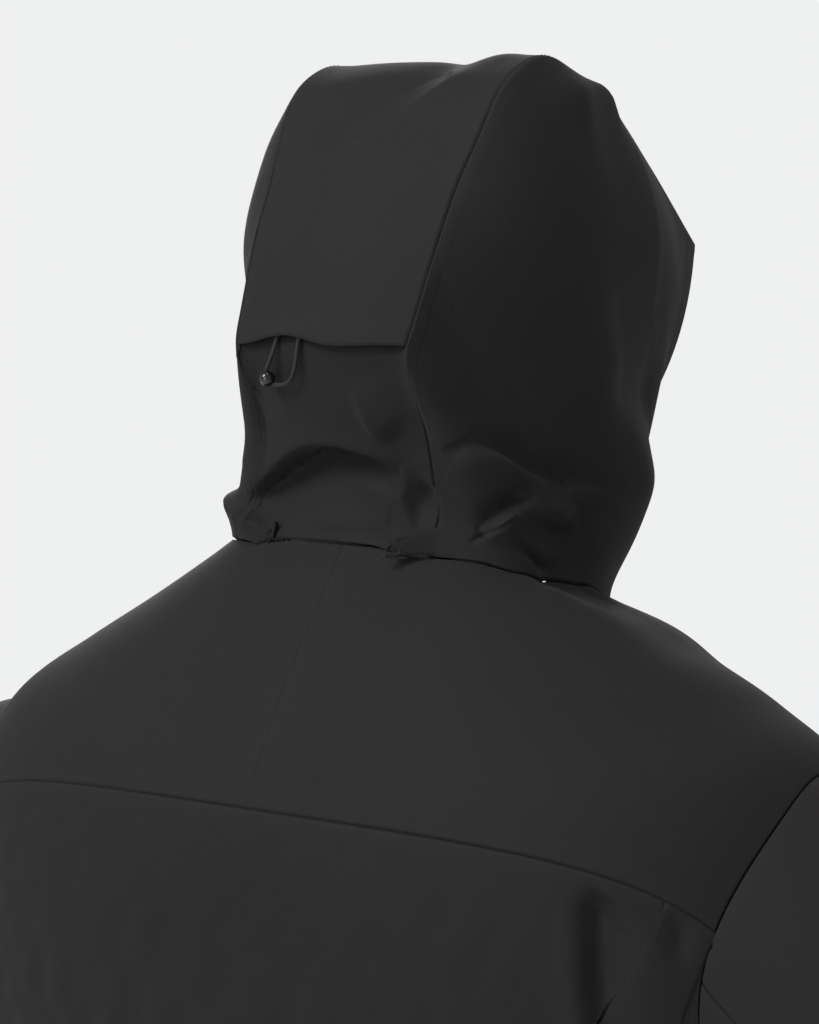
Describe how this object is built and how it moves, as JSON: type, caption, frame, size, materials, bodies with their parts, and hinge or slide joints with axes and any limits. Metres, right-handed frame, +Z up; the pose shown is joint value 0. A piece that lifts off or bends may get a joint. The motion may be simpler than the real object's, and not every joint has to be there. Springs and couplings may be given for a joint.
{
  "type": "hardshell jacket",
  "caption": "Men's waterproof shell jacket standing as worn, its helmet-size hood up, with a long front zip, hand and chest pockets, and a cord adjuster at the back of the head.",
  "frame": {"origin": "centre of the neck opening, level with the hood seam at the nape", "axes": "+X to the wearer's left, -Y to the front, +Z up"},
  "size_m": [0.9098, 0.3234, 0.9887],
  "materials": {
    "shell_fabric": "matt three-layer laminate with a fine plain weave",
    "lining_fabric": "fine tricot backer, matt",
    "webbing": "flat woven tape",
    "elastic_cord": "round braided elastic cord",
    "zip_coil": "moulded nylon coil",
    "hardware": "black painted cast metal",
    "moulded_trim": "soft matt moulded plastic",
    "bead": "glossy black plastic"
  },
  "bodies": {
    "garment": {"yoke_left": "shell_fabric", "yoke_right": "shell_fabric", "back_panel": "shell_fabric", "side_panel_left": "shell_fabric", "side_panel_right": "shell_fabric", "front_panel_left": "shell_fabric", "front_panel_right": "shell_fabric", "hem_band": "shell_fabric", "upper_sleeve_left": "shell_fabric", "upper_sleeve_right": "shell_fabric", "under_sleeve_left": "shell_fabric", "under_sleeve_right": "shell_fabric", "cuff_left": "shell_fabric", "cuff_right": "shell_fabric", "collar_left": "shell_fabric", "collar_right": "shell_fabric", "inner_collar_left": "lining_fabric", "inner_collar_right": "lining_fabric", "hanger_loop": "webbing", "zip_tape_left": "webbing", "zip_tape_right": "webbing", "zip_coil_left": "zip_coil", "zip_coil_right": "zip_coil", "zip_top_stops": "moulded_trim", "zip_bottom_box": "moulded_trim", "storm_flap": "lining_fabric", "chin_guard": "lining_fabric", "pocket_zip_left": "zip_coil", "pocket_zip_right": "zip_coil", "chest_zip": "zip_coil", "pocket_bag_left": "lining_fabric", "pocket_bag_right": "lining_fabric", "cuff_tab_anchor_left": "moulded_trim", "cuff_tab_anchor_right": "moulded_trim", "cuff_loop_patch_left": "webbing", "cuff_loop_patch_right": "webbing", "hem_eyelets": "hardware"},
    "hood": {"hood_brim": "shell_fabric", "brim_stiffener": "moulded_trim", "hood_centre_panel": "shell_fabric", "hood_nape_panel": "shell_fabric", "hood_side_left": "shell_fabric", "hood_side_right": "shell_fabric", "face_binding_left": "shell_fabric", "face_binding_right": "shell_fabric", "hood_cord_lock": "moulded_trim"},
    "adjuster": {"hood_adjuster_cord": "elastic_cord", "hood_adjuster_bead": "bead"},
    "main_zip_slider": {"main_slider": "hardware"},
    "main_zip_puller": {"main_puller": "moulded_trim"},
    "pocket_zip_left_slider": {"pocket_slider_left": "hardware"},
    "pocket_zip_left_puller": {"pocket_puller_left": "moulded_trim"},
    "pocket_zip_right_slider": {"pocket_slider_right": "hardware"},
    "pocket_zip_right_puller": {"pocket_puller_right": "moulded_trim"},
    "chest_zip_slider": {"chest_slider": "hardware"},
    "chest_zip_puller": {"chest_puller": "moulded_trim"},
    "cuff_tab_left": {"cuff_tab_left": "moulded_trim"},
    "cuff_tab_right": {"cuff_tab_right": "moulded_trim"}
  },
  "joints": [
    {"name": "hood_tilt", "type": "hinge", "parent": "garment", "child": "hood", "pos_m": [0, 0.075, 0], "axis": [-1, 0, 0], "range_deg": [0, 15]},
    {"name": "hood_adjuster_pull", "type": "slide", "parent": "hood", "child": "adjuster", "axis": [0, 0.28, -0.96], "range_m": [0, 0.007]},
    {"name": "main_zip_slide", "type": "slide", "parent": "garment", "child": "main_zip_slider", "axis": [0, -0.0238, -0.9997], "range_m": [0, 0.716]},
    {"name": "main_zip_puller_lift", "type": "hinge", "parent": "main_zip_slider", "child": "main_zip_puller", "pos_m": [0, -0.10786, 0.02689], "axis": [-1, 0, 0], "range_deg": [0, 100]},
    {"name": "pocket_zip_left_slide", "type": "slide", "parent": "garment", "child": "pocket_zip_left_slider", "axis": [-0.1371, -0.0649, -0.9884], "range_m": [0, 0.1413]},
    {"name": "pocket_zip_left_puller_lift", "type": "hinge", "parent": "pocket_zip_left_slider", "child": "pocket_zip_left_puller", "pos_m": [0.15086, -0.10157, -0.45989], "axis": [-0.945, -0.2905, 0.1501], "range_deg": [0, 100]},
    {"name": "pocket_zip_right_slide", "type": "slide", "parent": "garment", "child": "pocket_zip_right_slider", "axis": [0.1371, -0.0649, -0.9884], "range_m": [0, 0.1413]},
    {"name": "pocket_zip_right_puller_lift", "type": "hinge", "parent": "pocket_zip_right_slider", "child": "pocket_zip_right_puller", "pos_m": [-0.15086, -0.10157, -0.45989], "axis": [-0.945, 0.2905, -0.1501], "range_deg": [0, 100]},
    {"name": "chest_zip_slide", "type": "slide", "parent": "garment", "child": "chest_zip_slider", "axis": [0.0613, -0.0056, -0.9981], "range_m": [0, 0.1118]},
    {"name": "chest_zip_puller_lift", "type": "hinge", "parent": "chest_zip_slider", "child": "chest_zip_puller", "pos_m": [0.10547, -0.10986, -0.21394], "axis": [-0.9848, -0.1629, -0.0596], "range_deg": [0, 100]},
    {"name": "cuff_tab_left_peel", "type": "hinge", "parent": "garment", "child": "cuff_tab_left", "pos_m": [0.45166, -0.03488, -0.68559], "axis": [0.0011, -0.3103, -0.9506], "range_deg": [0, 45]},
    {"name": "cuff_tab_right_peel", "type": "hinge", "parent": "garment", "child": "cuff_tab_right", "pos_m": [-0.45166, -0.03488, -0.68559], "axis": [0.0011, 0.3103, 0.9506], "range_deg": [0, 45]}
  ]
}
